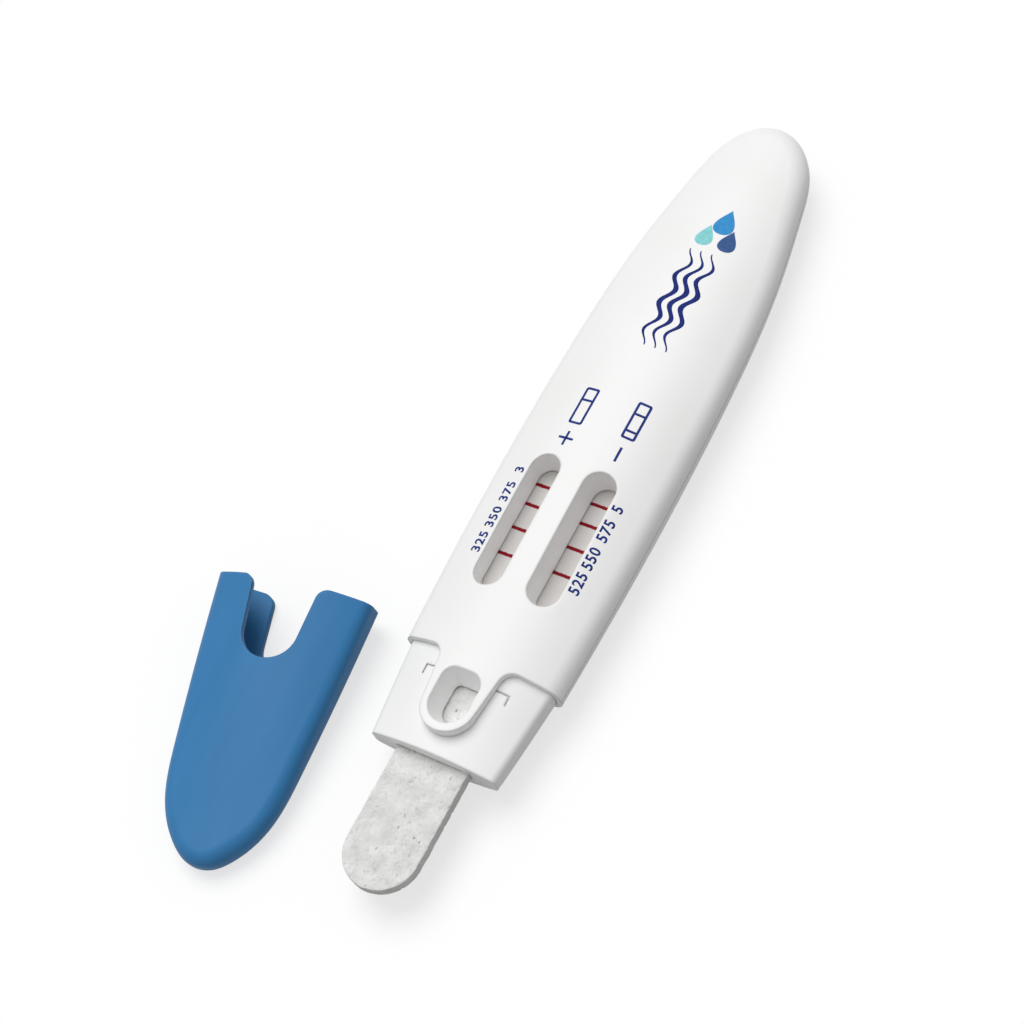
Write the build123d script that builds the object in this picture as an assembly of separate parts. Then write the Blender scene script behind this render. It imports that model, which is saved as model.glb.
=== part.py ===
from build123d import *
import math
import os

# Saliva test kit: a flat pod with two reading windows, a neck that carries the
# absorbent collection pad, two test strips inside, and the blue cap lying beside it.
# Drawing datum: X across, Y along the pod towards its round tip, Z up, with the
# shoulder where the cap seats at Y = 0 and the parting plane of the shells at Z = 0.
# All sizes are in millimetres.

# Pod
BODY_LENGTH = 109.0
BODY_HALF_WIDTH = 14.85
BODY_HALF_HEIGHT = 6.95
BODY_EDGE_RADIUS = 3.3
BODY_TIP_HALF_HEIGHT = 3.3
CROWN_BULGE = 0.020
SHELL_WALL = 1.5
SEAM_GAP = 0.1
BELLY_FLAT_DEPTH = 0.25

# Shoulder and tongue
SHOULDER_HALF_WIDTH = 14.2
SHOULDER_HALF_HEIGHT = 6.1
TONGUE_LENGTH = 13.4
TONGUE_ROOT_HALF_WIDTH = 5.9
TONGUE_TIP_RADIUS = 4.7
TONGUE_DROP = 0.15
SHOULDER_RADIUS = 2.4
TONGUE_EDGE_RADIUS = 0.25

# Cap
CAP_LENGTH = 48.3
CAP_WALL = 1.1
CAP_GAP = 0.12
CAP_DRAFT = 4.2
CAP_EDGE_RADIUS = 2.4
CAP_NOSE_BULGE = 0.010
NOTCH_GAP = 0.3
CAP_MOUTH_AT = (-36.8, 1.2)
CAP_YAW = 9.1

# Pad holder
NECK_LENGTH = 16.5
PLUG_LENGTH = 6.0
SEAT_GAP = 0.12
FLANGE = 0.5
FLANGE_THICK = 1.4
HOLDER_WALL = 1.1
HOLDER_FACE = 1.5
LATCH_SLIT = 0.25
LATCH_DEPTH = 0.4
LATCH_X = 7.6
LATCH_Y = -3.4
LATCH_SIDE = 1.5

# Collection pad
PAD_HALF_WIDTH = 6.6
PAD_THICK = 2.1
PAD_REACH = 39.4
PAD_TAIL = 4.0
PAD_GAP = 0.12
PAD_EDGE_RADIUS = 0.25

# Saturation window, the cup in the tongue that shows the pad
CUP_HALF_WIDTH = 3.9
CUP_BACK = 2.3
CUP_FRONT = 12.25
CUP_BACK_RADIUS = 2.6
CUP_DRAFT = 16.0
CUP_WALL = 0.9

# Reading windows
WINDOW_X = 5.125
WINDOW_HALF_WIDTH = 2.87
WINDOW_START = 11.3
WINDOW_END = 36.2
WINDOW_DRAFT = 5.6
WINDOW_WALL = 0.9
RIM_ROUND = 0.35
READING_GAP = 0.3

# Test strips, laid along Y on a card
STRIP_WIDTH = 4.0
CARD_THICK = 0.25
CARD_START = 4.2
CARD_END = 56.5
MEMBRANE_THICK = 0.2
MEMBRANE_START = 9.5
MEMBRANE_END = 38.8
CONJUGATE_THICK = 0.4
CONJUGATE_START = 5.2
SAMPLE_THICK = 0.6
SAMPLE_START = -0.5
WICK_THICK = 0.8
WICK_START = 37.6
OVERLAP = 1.1

# Ribs, pins and sockets inside the shells
RIB_THICK = 1.2
RIB_STATIONS = (9.0, 20.0, 31.0, 42.0, 53.0)
RIB_HALF_SPAN = 8.4
RIB_GUIDE = 0.5
STRIP_GAP = 0.15
CLAMP_STATIONS = (8.0, 43.0, 54.0)
CLAMP_GAP = 0.05
PIN_RADIUS = 1.0
PIN_LENGTH = 3.2
PIN_GAP = 0.05
BOSS_RADIUS = 1.9
PIN_PLACES = ((-10.6, 14.0), (10.6, 14.0), (0.0, 47.5), (-10.6, 62.0), (10.6, 62.0), (0.0, 92.0))
RIM_HEIGHT = 0.8
RIM_WALL = 0.7
RIM_GAP = 0.08

# Heights that follow from the sizes above
PAD_TOP = PAD_THICK / 2
CARD_TOP = PAD_TOP
CARD_BASE = CARD_TOP - CARD_THICK
MEMBRANE_TOP = CARD_TOP + MEMBRANE_THICK
READING_BASE = MEMBRANE_TOP + READING_GAP
TALL = BODY_HALF_HEIGHT * 2
BELLY_LEVEL = BODY_HALF_HEIGHT - BELLY_FLAT_DEPTH


def pod_plan(inset=0.0):
    """Plan of the pod: nearly straight flanks that close in one round tip."""
    wide = BODY_HALF_WIDTH - inset
    start = SHOULDER_HALF_WIDTH - inset
    tip = BODY_LENGTH - inset
    flank = [(start, 0), (wide, 0.28 * tip), (0.973 * wide, 0.55 * tip), (0.875 * wide, 0.734 * tip),
             (0.700 * wide, 0.872 * tip), (0.471 * wide, 0.963 * tip), (0, tip)]
    right = Spline(*flank, tangents=[(0.04, 1), (-1, 0)])
    left = mirror(right, about=Plane.YZ)
    return make_face(right + left + Line((-start, 0), (start, 0)))


def cap_plan(inset=0.0):
    """Plan of the cap in its fitted place: mouth at the shoulder, nose towards -Y."""
    mouth = SHOULDER_HALF_WIDTH - inset
    nose = CAP_LENGTH - inset
    flank = [(mouth, 0), (mouth - 1.4, -0.31 * nose), (mouth - 3.0, -0.62 * nose), (0.66 * mouth, -0.81 * nose),
             (0.34 * mouth, -0.952 * nose), (0, -nose)]
    right = Spline(*flank, tangents=[(-0.09, -1), (-1, 0)])
    left = mirror(right, about=Plane.YZ)
    return make_face(right + left + Line((-mouth, 0), (mouth, 0)))


def crown_section(y, half_height, bulge):
    """Section across X whose top is an arc, half_height high in the middle."""
    reach = 1.15 * BODY_HALF_WIDTH
    edge = half_height - bulge * reach ** 2
    base = -BODY_HALF_HEIGHT
    arc = ThreePointArc((-reach, edge), (0, half_height), (reach, edge))
    sides = Polyline((reach, edge), (reach, base), (-reach, base), (-reach, edge))
    return Plane((0, y, 0), x_dir=(1, 0, 0), z_dir=(0, -1, 0)) * make_face(arc + sides)


def pod_crown(inset=0.0):
    """Arched top of the pod, level over the tongue and falling towards the tip."""
    stations = [(-1.2 * TONGUE_LENGTH, SHOULDER_HALF_HEIGHT - TONGUE_DROP), (0, SHOULDER_HALF_HEIGHT),
                (0.28 * BODY_LENGTH, BODY_HALF_HEIGHT), (0.56 * BODY_LENGTH, 0.955 * BODY_HALF_HEIGHT),
                (0.80 * BODY_LENGTH, 0.775 * BODY_HALF_HEIGHT), (1.02 * BODY_LENGTH, BODY_TIP_HALF_HEIGHT)]
    return loft([crown_section(y, height - inset, CROWN_BULGE) for y, height in stations])


def cap_crown(inset=0.0):
    """Straight drafted top of the cap, which also shapes the pad holder inside it."""
    stations = [(2.0, CROWN_BULGE), (-CAP_LENGTH - 2.0, CAP_NOSE_BULGE)]
    slope = math.tan(math.radians(CAP_DRAFT))
    return loft([crown_section(y, SHOULDER_HALF_HEIGHT - inset + slope * y, bulge) for y, bulge in stations])


def arched(plan, crown, radius):
    """Upper half of a flat pod: the plan raised to the crown, its long edge rounded."""
    block = extrude(plan, TALL) & crown
    rim = [e for e in block.edges() if e.bounding_box().min.Z > SEAM_GAP and e.length > CAP_LENGTH]
    return fillet(rim, radius)


def both_halves(half):
    return half + mirror(half, about=Plane.XY)


def cap_form(inset=0.0):
    """Closed form of the cap or of what fits in it, in the fitted place."""
    return both_halves(arched(cap_plan(inset), cap_crown(inset), CAP_EDGE_RADIUS - inset))


def behind(y):
    """Everything on the tip side of the station y."""
    return Pos(0, y + BODY_LENGTH, 0) * Box(8 * BODY_HALF_WIDTH, 2 * BODY_LENGTH, 2 * TALL)


def bar(x, y, z_low, z_high, width, length):
    """Upright block centred on x and y, from one height to another."""
    return Pos(x, y, (z_low + z_high) / 2) * Box(width, length, z_high - z_low)


def tongue_plan(gap=0.0):
    """Plan of the tongue with the hollow shoulders that run out into the lip."""
    tip = Pos(0, TONGUE_TIP_RADIUS - TONGUE_LENGTH) * Circle(TONGUE_TIP_RADIUS)
    root = Line((-TONGUE_ROOT_HALF_WIDTH, 0.5), (TONGUE_ROOT_HALF_WIDTH, 0.5))
    tongue = make_hull(tip.edges() + root.edges())
    lip = Pos(0, BODY_HALF_WIDTH / 2) * Rectangle(4 * BODY_HALF_WIDTH, BODY_HALF_WIDTH)
    plan = lip + tongue
    corners = [v for v in plan.vertices() if abs(v.Y) < 0.01 and abs(v.X) < BODY_HALF_WIDTH]
    plan = fillet(corners, SHOULDER_RADIUS)
    return offset(plan, gap) if gap else plan


def neck_section(inset):
    """Section of the pad holder at the shoulder, drawn at Y = 0."""
    return cap_form(inset).faces().sort_by(Axis.Y)[-1]


def holder_seat():
    """Room that the shells leave round the holder, with the groove for its flange."""
    inset = CAP_WALL + CAP_GAP - SEAT_GAP
    section = neck_section(inset)
    groove = neck_section(inset - FLANGE)
    start = PLUG_LENGTH - FLANGE_THICK - SEAT_GAP
    seat = cap_form(inset) + extrude(section, PLUG_LENGTH + SEAT_GAP, dir=(0, 1, 0))
    return seat + Pos(0, start, 0) * extrude(groove, FLANGE_THICK + 2 * SEAT_GAP, dir=(0, 1, 0))


def pod_cavity():
    """Inside of one half shell, from the holder's back end to the tip."""
    inner = arched(pod_plan(SHELL_WALL), pod_crown(SHELL_WALL), BODY_EDGE_RADIUS - SHELL_WALL)
    return inner & behind(PLUG_LENGTH)


def wall_ring(outer, inner, height):
    """Strip of the shell wall between two insets, from the parting plane upwards."""
    ring = extrude(pod_plan(outer) - pod_plan(inner), height)
    return ring & behind(PLUG_LENGTH + 2 * SHELL_WALL)


def half_shell(inside):
    """Upper half of the pod with its tongue, hollow and seated on the pad holder."""
    front = tongue_plan() & (Pos(0, -TONGUE_LENGTH / 2) * Rectangle(1.3 * BODY_HALF_WIDTH, TONGUE_LENGTH + 4))
    block = extrude(pod_plan() + front, TALL) & pod_crown()
    rim = [e for e in block.edges() if e.bounding_box().min.Z > SEAM_GAP and e.length > BODY_LENGTH]
    block = fillet(rim, BODY_EDGE_RADIUS)
    seam = extrude(pod_plan(-1) - pod_plan(RIM_WALL), SEAM_GAP / 2)
    return block - inside - holder_seat() - seam


def cup_plan(grow):
    """Plan of the saturation window: round towards the pad's tip, squarer at the back."""
    front = Pos(0, CUP_HALF_WIDTH - CUP_FRONT) * Circle(CUP_HALF_WIDTH + grow)
    corner = CUP_HALF_WIDTH - CUP_BACK_RADIUS
    back = [Pos(x, -CUP_BACK - CUP_BACK_RADIUS) * Circle(CUP_BACK_RADIUS + grow) for x in (-corner, corner)]
    return make_hull(front.edges() + back[0].edges() + back[1].edges())


def window_plan(grow):
    """Plan of a reading window, drawn on the centre line."""
    length = WINDOW_END - WINDOW_START + 2 * grow
    middle = (WINDOW_START + WINDOW_END) / 2
    return Pos(0, middle) * SlotOverall(length, 2 * (WINDOW_HALF_WIDTH + grow), rotation=90)


def funnel(plan, grow, top, bottom, draft):
    """Drafted well that narrows from the plan at the height top to its bottom."""
    narrow = (top - bottom) * math.tan(math.radians(draft))
    return loft([Pos(0, 0, bottom) * plan(grow - narrow), Pos(0, 0, top) * plan(grow)])


def cup(grow=0.0):
    return funnel(cup_plan, grow, BODY_HALF_HEIGHT, PAD_TOP + READING_GAP, CUP_DRAFT)


def window(side, grow=0.0):
    """One reading window, down to just above the membrane."""
    well = funnel(window_plan, grow, BODY_HALF_HEIGHT, READING_BASE, WINDOW_DRAFT)
    return Pos(side * WINDOW_X, 0, 0) * well


def upper_housing(shell, inside):
    """Top shell: tongue with its cup, two reading windows, clamps and pins."""
    room = extrude(pod_plan(), TALL) & pod_crown() & behind(PLUG_LENGTH)
    shell += (window(-1, WINDOW_WALL) + window(1, WINDOW_WALL)) & room
    shell += cup(CUP_WALL) & pod_crown()
    for y in CLAMP_STATIONS:
        pad_top = CARD_TOP + (CONJUGATE_THICK if y < MEMBRANE_START else WICK_THICK)
        shell += bar(0, y, pad_top + CLAMP_GAP, BODY_HALF_HEIGHT, 2 * (WINDOW_X + STRIP_WIDTH / 2), RIB_THICK) & inside
    for x, y in PIN_PLACES:
        boss = Pos(x, y, BODY_HALF_HEIGHT / 2) * Cylinder(BOSS_RADIUS, BODY_HALF_HEIGHT)
        pin = Pos(x, y, -PIN_LENGTH / 2) * Cylinder(PIN_RADIUS, PIN_LENGTH)
        shell += (boss & inside) + chamfer(pin.edges().sort_by(Axis.Z)[0], PIN_RADIUS / 3)
    shell -= wall_ring(RIM_WALL - RIM_GAP, SHELL_WALL + RIM_GAP, RIM_HEIGHT + RIM_GAP)
    return shell - window(-1) - window(1) - cup()


def lower_housing(shell, inside):
    """Bottom shell: plain tongue, strip ribs, sockets for the pins and a flat to stand on."""
    reach = extrude(pod_plan(SHELL_WALL), -TALL) & behind(PLUG_LENGTH)
    for y in RIB_STATIONS:
        rib = bar(0, y, -CARD_BASE - RIB_GUIDE, BODY_HALF_HEIGHT, 2 * RIB_HALF_SPAN, RIB_THICK)
        for side in (-1, 1):
            rib -= bar(side * WINDOW_X, y, -TALL, -CARD_BASE, STRIP_WIDTH + 2 * STRIP_GAP, 2 * RIB_THICK)
        shell += rib & (inside + reach)
    for x, y in PIN_PLACES:
        boss = Pos(x, y, BODY_HALF_HEIGHT / 2) * Cylinder(BOSS_RADIUS, BODY_HALF_HEIGHT)
        bore = Pos(x, y, PIN_LENGTH / 2) * Cylinder(PIN_RADIUS + PIN_GAP, PIN_LENGTH + 2 * PIN_GAP)
        shell += boss & inside
        shell -= bore
    shell += Pos(0, 0, -RIM_HEIGHT) * wall_ring(RIM_WALL, SHELL_WALL, 2 * RIM_HEIGHT)
    belly = Pos(0, 0, BELLY_LEVEL + TALL / 2) * Box(4 * BODY_HALF_WIDTH, 4 * BODY_LENGTH, TALL)
    return mirror(shell - belly, about=Plane.XY)


def pad_holder():
    """Flattened tube that grips the collection pad and plugs into the shells."""
    inset = CAP_WALL + CAP_GAP
    outer = cap_form(inset) & behind(-NECK_LENGTH)
    plug = extrude(neck_section(inset), PLUG_LENGTH, dir=(0, 1, 0))
    flange = extrude(neck_section(inset - FLANGE), FLANGE_THICK, dir=(0, 1, 0))
    outer += plug + Pos(0, PLUG_LENGTH - FLANGE_THICK, 0) * flange
    core = inset + HOLDER_WALL
    hollow = cap_form(core) & behind(HOLDER_FACE - NECK_LENGTH)
    hollow += extrude(neck_section(core), PLUG_LENGTH + 1, dir=(0, 1, 0))
    holder = outer - hollow
    rail = (HOLDER_FACE - NECK_LENGTH, PAD_TAIL / 2)
    roof = (HOLDER_FACE - NECK_LENGTH, -HOLDER_WALL)
    for side in (-1, 1):
        x = side * (PAD_HALF_WIDTH - RIB_THICK)
        floor_rail = bar(x, sum(rail) / 2, -TALL, -PAD_TOP, RIB_THICK, rail[1] - rail[0])
        roof_rail = bar(x, sum(roof) / 2, PAD_TOP + PAD_GAP, TALL, RIB_THICK / 2, roof[1] - roof[0])
        holder += (floor_rail + roof_rail) & hollow
    slot = Box(2 * (PAD_HALF_WIDTH + PAD_GAP), 4 * HOLDER_FACE, PAD_THICK + 2 * PAD_GAP)
    holder -= Pos(0, -NECK_LENGTH, 0) * slot
    holder -= cup(CUP_WALL + SEAT_GAP)
    skin = cap_form(inset + LATCH_DEPTH)
    for side in (-1, 1):
        across = bar(side * (LATCH_X - LATCH_SIDE), LATCH_Y, 0, TALL, 2 * LATCH_SIDE, LATCH_SLIT)
        along = bar(side * LATCH_X, LATCH_Y - LATCH_SIDE / 2, 0, TALL, LATCH_SLIT, LATCH_SIDE + LATCH_SLIT)
        holder -= (across + along) - skin
    return holder


def collection_pad():
    """Absorbent bar with a round tip, which wicks the sample on to both strips."""
    tip = Pos(0, PAD_HALF_WIDTH - PAD_REACH) * Circle(PAD_HALF_WIDTH)
    tail = Line((-PAD_HALF_WIDTH, PAD_TAIL), (PAD_HALF_WIDTH, PAD_TAIL))
    plan = make_hull(tip.edges() + tail.edges())
    pad = extrude(Pos(0, 0, -PAD_TOP) * plan, PAD_THICK)
    return fillet(pad.faces().sort_by(Axis.Z)[-1].edges().filter_by(GeomType.CIRCLE), PAD_EDGE_RADIUS)


def strip_layer(side, profile):
    """One layer of a strip: its side profile, given as (y, z) points, made strip wide."""
    face = Plane.YZ * make_face(Polyline(*profile, close=True))
    return Pos(side * WINDOW_X, 0, 0) * extrude(face, STRIP_WIDTH / 2, both=True)


def flat_layer(side, start, end, base, thick):
    return strip_layer(side, [(start, base), (end, base), (end, base + thick), (start, base + thick)])


def lapped_layer(side, start, end, low, high, lap, thick):
    """Layer that lies low from start and climbs at lap to lie high as far as end."""
    base = [(start, low), (lap, low), (lap, high), (end, high)]
    step = math.copysign(high - low, end - start)
    top = [(end, high + thick), (lap - step, high + thick), (lap - step, low + thick), (start, low + thick)]
    return strip_layer(side, base + top)


def test_strip(side, name):
    """The five layers of one strip, from the card up."""
    conjugate_end = MEMBRANE_START + OVERLAP
    conjugate_top = CARD_TOP + CONJUGATE_THICK
    return {
        name + "_backing_card": flat_layer(side, CARD_START, CARD_END, CARD_BASE, CARD_THICK),
        name + "_membrane": flat_layer(side, MEMBRANE_START, MEMBRANE_END, CARD_TOP, MEMBRANE_THICK),
        name + "_conjugate_pad": lapped_layer(side, CONJUGATE_START, conjugate_end, CARD_TOP, MEMBRANE_TOP,
                                              MEMBRANE_START, CONJUGATE_THICK),
        name + "_sample_pad": lapped_layer(side, SAMPLE_START, CONJUGATE_START + OVERLAP, CARD_TOP,
                                           conjugate_top, CONJUGATE_START, SAMPLE_THICK),
        name + "_wick_pad": lapped_layer(side, CARD_END, WICK_START, CARD_TOP, MEMBRANE_TOP,
                                         MEMBRANE_END, WICK_THICK),
    }


def cap():
    """Cap in its fitted place: thin shell, open mouth, a notch for each tongue."""
    notch = extrude(tongue_plan(NOTCH_GAP), TALL, both=True)
    return cap_form(0) - cap_form(CAP_WALL) - notch


def laid_down(fitted_cap):
    """Take the cap off and lay it flat on its belly beside the neck."""
    mouth_level = SHOULDER_HALF_HEIGHT * math.cos(math.radians(CAP_DRAFT)) - BELLY_LEVEL
    x, y = CAP_MOUTH_AT
    return Pos(x, y, mouth_level) * Rot(0, 0, CAP_YAW) * Rot(CAP_DRAFT, 0, 0) * fitted_cap


inside = pod_cavity()
shell = half_shell(inside)
pieces = {
    "upper_housing": upper_housing(shell, inside),
    "lower_housing": lower_housing(shell, inside),
    "pad_holder": pad_holder(),
    "collection_pad": collection_pad(),
    "cap": laid_down(cap()),
}
for side, name in ((-1, "left"), (1, "right")):
    pieces.update(test_strip(side, name))

belly = pieces["lower_housing"].faces().filter_by(Plane.XY).sort_by(Axis.Z)[0]
to_frame = Pos(0, -belly.center().Y, BELLY_LEVEL)
os.makedirs("parts", exist_ok=True)
for name, piece in pieces.items():
    export_step(to_frame * piece, "parts/" + name + ".step")
print("belly flat", belly.bounding_box().size, "shoulder at Y", round(-belly.center().Y, 3))
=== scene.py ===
import math

import bmesh
import bpy
import numpy as np
from mathutils import Euler, Matrix, Vector, noise


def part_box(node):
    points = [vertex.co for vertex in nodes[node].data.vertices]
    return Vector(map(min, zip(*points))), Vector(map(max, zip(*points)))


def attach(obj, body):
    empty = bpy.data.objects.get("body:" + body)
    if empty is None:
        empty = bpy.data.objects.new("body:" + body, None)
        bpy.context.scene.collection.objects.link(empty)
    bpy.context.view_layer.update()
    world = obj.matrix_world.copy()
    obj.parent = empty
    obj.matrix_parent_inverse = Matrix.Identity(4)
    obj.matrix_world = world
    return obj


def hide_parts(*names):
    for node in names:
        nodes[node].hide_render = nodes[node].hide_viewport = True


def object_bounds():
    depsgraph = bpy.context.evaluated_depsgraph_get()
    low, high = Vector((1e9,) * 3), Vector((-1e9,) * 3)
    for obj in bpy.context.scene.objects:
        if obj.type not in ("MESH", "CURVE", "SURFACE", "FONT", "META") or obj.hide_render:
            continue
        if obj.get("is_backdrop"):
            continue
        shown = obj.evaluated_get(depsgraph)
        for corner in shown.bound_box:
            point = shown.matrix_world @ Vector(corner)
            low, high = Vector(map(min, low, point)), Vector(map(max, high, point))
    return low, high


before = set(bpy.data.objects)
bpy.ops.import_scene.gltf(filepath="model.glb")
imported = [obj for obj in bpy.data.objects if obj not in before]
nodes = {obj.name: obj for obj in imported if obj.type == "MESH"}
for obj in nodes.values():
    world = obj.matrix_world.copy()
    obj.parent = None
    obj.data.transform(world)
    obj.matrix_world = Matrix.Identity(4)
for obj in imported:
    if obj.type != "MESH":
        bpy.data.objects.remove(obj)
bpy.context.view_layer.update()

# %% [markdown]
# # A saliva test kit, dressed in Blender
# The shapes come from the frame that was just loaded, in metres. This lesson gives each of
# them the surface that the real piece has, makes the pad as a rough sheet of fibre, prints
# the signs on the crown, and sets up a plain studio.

MM = 0.001

# %% [markdown]
# ## Places on the pod
# Everything printed is placed by its distance along the pod from the shoulder, the step where
# the cap stops, and by its distance across from the middle of the pod, where X is 0. The pad
# holder's plug goes 6 mm past that step into the shells, so the step is found from the holder's
# box and follows the frame.

# %% Where the shoulder is
PLUG_LENGTH = 6.0 * MM
shoulder_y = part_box("pad_holder")[1].y - PLUG_LENGTH
top_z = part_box("upper_housing")[1].z


def on_pod(x_mm, y_mm, z_mm=0.0):
    """A point given in mm from the shoulder, in the frame's metres."""
    return Vector((x_mm * MM, shoulder_y + y_mm * MM, z_mm * MM))


print("shoulder at y =", round(shoulder_y / MM, 2), "mm, crown at z =", round(top_z / MM, 2), "mm")

# %% [markdown]
# ## Small tools for node trees
# A material and a Geometry Nodes tree are built the same way: nodes with settings, and links
# between their sockets. One function adds any node, so the recipes below read as a list of
# what each surface is made of. Colours are written as the sRGB hex values that a paint card
# would give, and turned to linear light in one place.

# %% Node and colour helpers
def linear(hex_code):
    """Linear RGBA of an sRGB hex colour."""
    values = [int(hex_code[i:i + 2], 16) / 255 for i in (1, 3, 5)]
    return [v / 12.92 if v <= 0.04045 else ((v + 0.055) / 1.055) ** 2.4 for v in values] + [1.0]


def feed(tree, node, inputs):
    """Gives a node's inputs, by name or number, a socket to read or a plain value."""
    for key, value in inputs.items():
        if isinstance(value, bpy.types.NodeSocket):
            tree.links.new(value, node.inputs[key])
        else:
            node.inputs[key].default_value = value


def add(tree, kind, inputs=None, stops=(), **settings):
    """Adds one node with its inputs and settings. stops are a ramp's places and hex colours."""
    made = tree.nodes.new(kind)
    for key, value in settings.items():
        setattr(made, key, value)
    feed(tree, made, inputs or {})
    while stops and len(made.color_ramp.elements) < len(stops):
        made.color_ramp.elements.new(0.5)
    for number, (position, colour) in enumerate(stops):
        made.color_ramp.elements[number].position = position
        made.color_ramp.elements[number].color = linear(colour)
    return made


def per_mm(size_mm):
    """Texture scale on Object coordinates that makes a pattern's cells size_mm wide."""
    return 1 / (size_mm * MM)


def new_material(name):
    """An empty material: its tree, its shader, and its Object coordinates."""
    made = bpy.data.materials.new(name)
    made.use_nodes = True
    tree = made.node_tree
    shader = next(n for n in tree.nodes if n.type == "BSDF_PRINCIPLED")
    place = add(tree, "ShaderNodeTexCoord").outputs["Object"]
    return made, tree, shader, place


print("pure white is", linear("#FFFFFF")[0], "and mid grey", round(linear("#808080")[0], 3))

# %% [markdown]
# ## White ABS, spark-eroded and moulded
# The shells and the neck are injection-moulded ABS. The tool is spark-eroded to a fine matt
# grain, so the plastic has no mirror highlights: the light rolls off the crown in one wide
# soft band. The real grain is about 0.05 mm wide, finer than a pixel here, so it is drawn at
# 0.3 mm and kept shallow. A slow change of a few percent in the gloss stands for the flow of
# the melt, and keeps the surface from looking computed. Both could be pictures on unwrapped
# faces, but noise on Object coordinates needs no unwrapping and keeps its size in millimetres.
# A moulded edge is never sharp: a Bevel node turns the normals within 0.6 mm of each edge, so
# rims and steps catch a thin soft line. The tools of both plastics are finished alike, so one
# function gives the grain and the edges to both.

# %% Moulded ABS
TOOL_GRAIN_MM = 0.3
TOOL_GRAIN_DEPTH_MM = 0.006
MOULDED_EDGE_MM = 0.6
EDGE_SAMPLES = 8
MELT_FLOW_MM = 14.0


def moulded_normal(tree, place):
    """Normal of a moulded surface: the grain of its tool, and edges that look round."""
    grain = add(tree, "ShaderNodeTexNoise", {"Vector": place, "Scale": per_mm(TOOL_GRAIN_MM), "Detail": 2.0})
    edge = add(tree, "ShaderNodeBevel", {"Radius": MOULDED_EDGE_MM * MM}, samples=EDGE_SAMPLES)
    relief = add(tree, "ShaderNodeBump", {"Distance": TOOL_GRAIN_DEPTH_MM * MM,
                                          "Height": grain.outputs["Fac"], "Normal": edge.outputs["Normal"]})
    return relief.outputs["Normal"]


def moulded_abs():
    made, tree, shader, place = new_material("white_moulded_abs")
    flow = add(tree, "ShaderNodeTexNoise", {"Vector": place, "Scale": per_mm(MELT_FLOW_MM), "Detail": 3.0})
    colour = add(tree, "ShaderNodeValToRGB", {"Fac": flow.outputs["Fac"]},
                 stops=[(0.3, "#F2F2F1"), (0.7, "#F5F5F5")])
    gloss = add(tree, "ShaderNodeMapRange", {"Value": flow.outputs["Fac"], "To Min": 0.40, "To Max": 0.48})
    feed(tree, shader, {"Base Color": colour.outputs["Color"], "Roughness": gloss.outputs["Result"],
                        "IOR": 1.53, "Normal": moulded_normal(tree, place)})
    return made


white = moulded_abs()
print("made", white.name, "with a grain of", TOOL_GRAIN_MM, "mm")

# %% [markdown]
# ## Blue polypropylene
# The cap is moulded in polypropylene, which gives a little when it is pushed over the neck.
# It is waxier than ABS, with a lower index and a weaker, slightly wider highlight, which keeps
# the blue deep under a white sky. Its masterbatch leaves faint streaks along the way the melt
# ran, from the nose to the mouth. The streaks are noise that is stretched ten times along the
# cap.

# %% Moulded polypropylene
STREAK_MM = 3.0
STREAK_STRETCH = 10.0


def moulded_polypropylene():
    made, tree, shader, place = new_material("blue_moulded_polypropylene")
    along = add(tree, "ShaderNodeMapping", {"Vector": place, "Scale": (1.0, 1 / STREAK_STRETCH, 1.0)})
    streak = add(tree, "ShaderNodeTexNoise", {"Vector": along.outputs["Vector"], "Scale": per_mm(STREAK_MM),
                                              "Detail": 3.0})
    colour = add(tree, "ShaderNodeValToRGB", {"Fac": streak.outputs["Fac"]},
                 stops=[(0.3, "#3278AE"), (0.7, "#377DB4")])
    gloss = add(tree, "ShaderNodeMapRange", {"Value": streak.outputs["Fac"], "To Min": 0.42, "To Max": 0.50})
    feed(tree, shader, {"Base Color": colour.outputs["Color"], "Roughness": gloss.outputs["Result"],
                        "IOR": 1.49, "Specular IOR Level": 0.25, "Normal": moulded_normal(tree, place)})
    return made


blue = moulded_polypropylene()
print("made", blue.name, "with streaks", STREAK_MM, "mm wide")

# %% [markdown]
# ## Pressed cellulose
# The collection pad is cellulose and cotton linters, wetted, pressed and dried to a stiff
# board. Seen close it is chalky and off-white. Darker flecks are painted on it as painted shade:
# the shade that would lie in holes the press left and under fibres that turned over. The flecks
# are stretched along the pad, as the board was drawn that way. Its fibres are about 0.03 mm
# wide, too fine to show, so the felt is drawn at 0.28 mm. The holes themselves are cut in the
# mesh further down: here is only the colour, its painted shade and the fine felted tooth.

# %% Pressed cellulose
# Width of the darker flecks, which are painted shade of the press's holes and of turned fibres.
PAINTED_SHADE_FLECK_MM = 0.75
CLOUD_MM = 2.6
FELT_MM = 0.28
FELT_DEPTH_MM = 0.06
BOARD_DRAWN = (1.0, 0.6, 1.0)


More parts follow.
